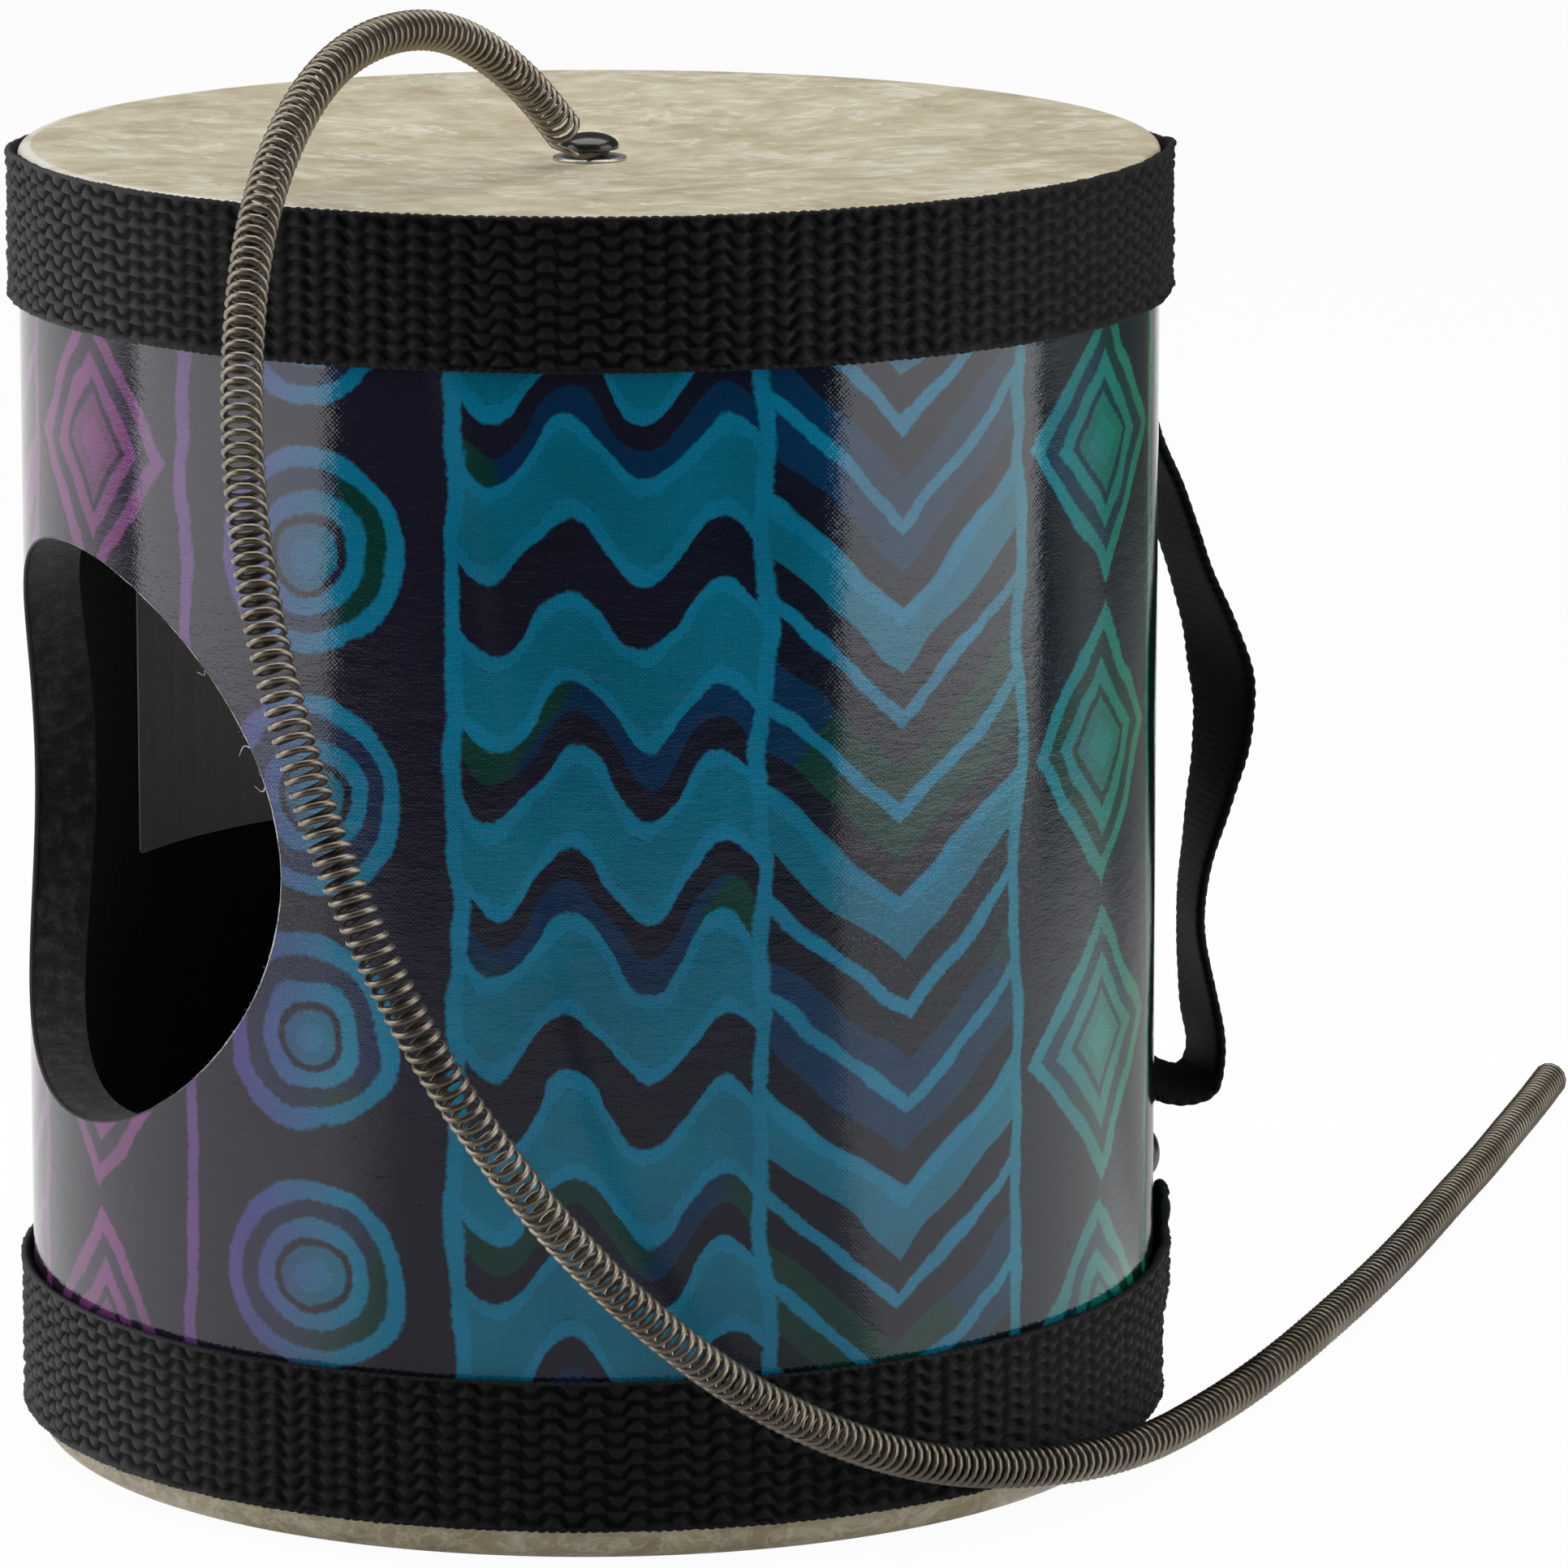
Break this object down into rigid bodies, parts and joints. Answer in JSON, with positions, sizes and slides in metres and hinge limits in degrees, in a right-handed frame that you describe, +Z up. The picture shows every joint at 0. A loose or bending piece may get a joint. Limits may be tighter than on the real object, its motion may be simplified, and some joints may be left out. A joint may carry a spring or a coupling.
{
  "type": "spring drum",
  "caption": "Hand-held sound-effect drum: fabric-covered tube with film heads, webbing bands, a hand hole, a hand strap and a long coil spring hanging from the top head",
  "frame": {"origin": "middle of the bottom head, on the floor", "axes": "Z up along the drum's axis, -Y to the front, the hand hole towards -X and the hand strap towards +X"},
  "size_m": [0.2675, 0.3874, 0.2304],
  "materials": {
    "fibreboard": "black, matte, felt-like where cut",
    "cloth": "printed cloth under a clear glossy coat",
    "film": "parchment-like satin film",
    "webbing": "black woven webbing",
    "spring_steel": "dull nickel plate",
    "black_screw": "glossy black",
    "zinc": "zinc plate",
    "label": "uncoated, bare"
  },
  "bodies": {
    "drum": {"bottom_band": "webbing", "bottom_head": "film", "hand_strap": "webbing", "inner_label": "label", "lower_strap_nut": "zinc", "lower_strap_screw": "black_screw", "lower_strap_washer": "zinc", "shell": "fibreboard", "shell_cover": "cloth", "spring_inner_washer": "zinc", "spring_nut": "zinc", "spring_screw": "black_screw", "spring_washer": "zinc", "top_band": "webbing", "top_head": "film", "upper_strap_nut": "zinc", "upper_strap_screw": "black_screw", "upper_strap_washer": "zinc"},
    "spring": {"spring": "spring_steel"}
  },
  "joints": [
    {"name": "spring_swivel", "type": "hinge", "parent": "drum", "child": "spring", "pos_m": [0, 0, 0.20312], "axis": [0, 0, 1], "range_deg": [-60, 60]}
  ]
}
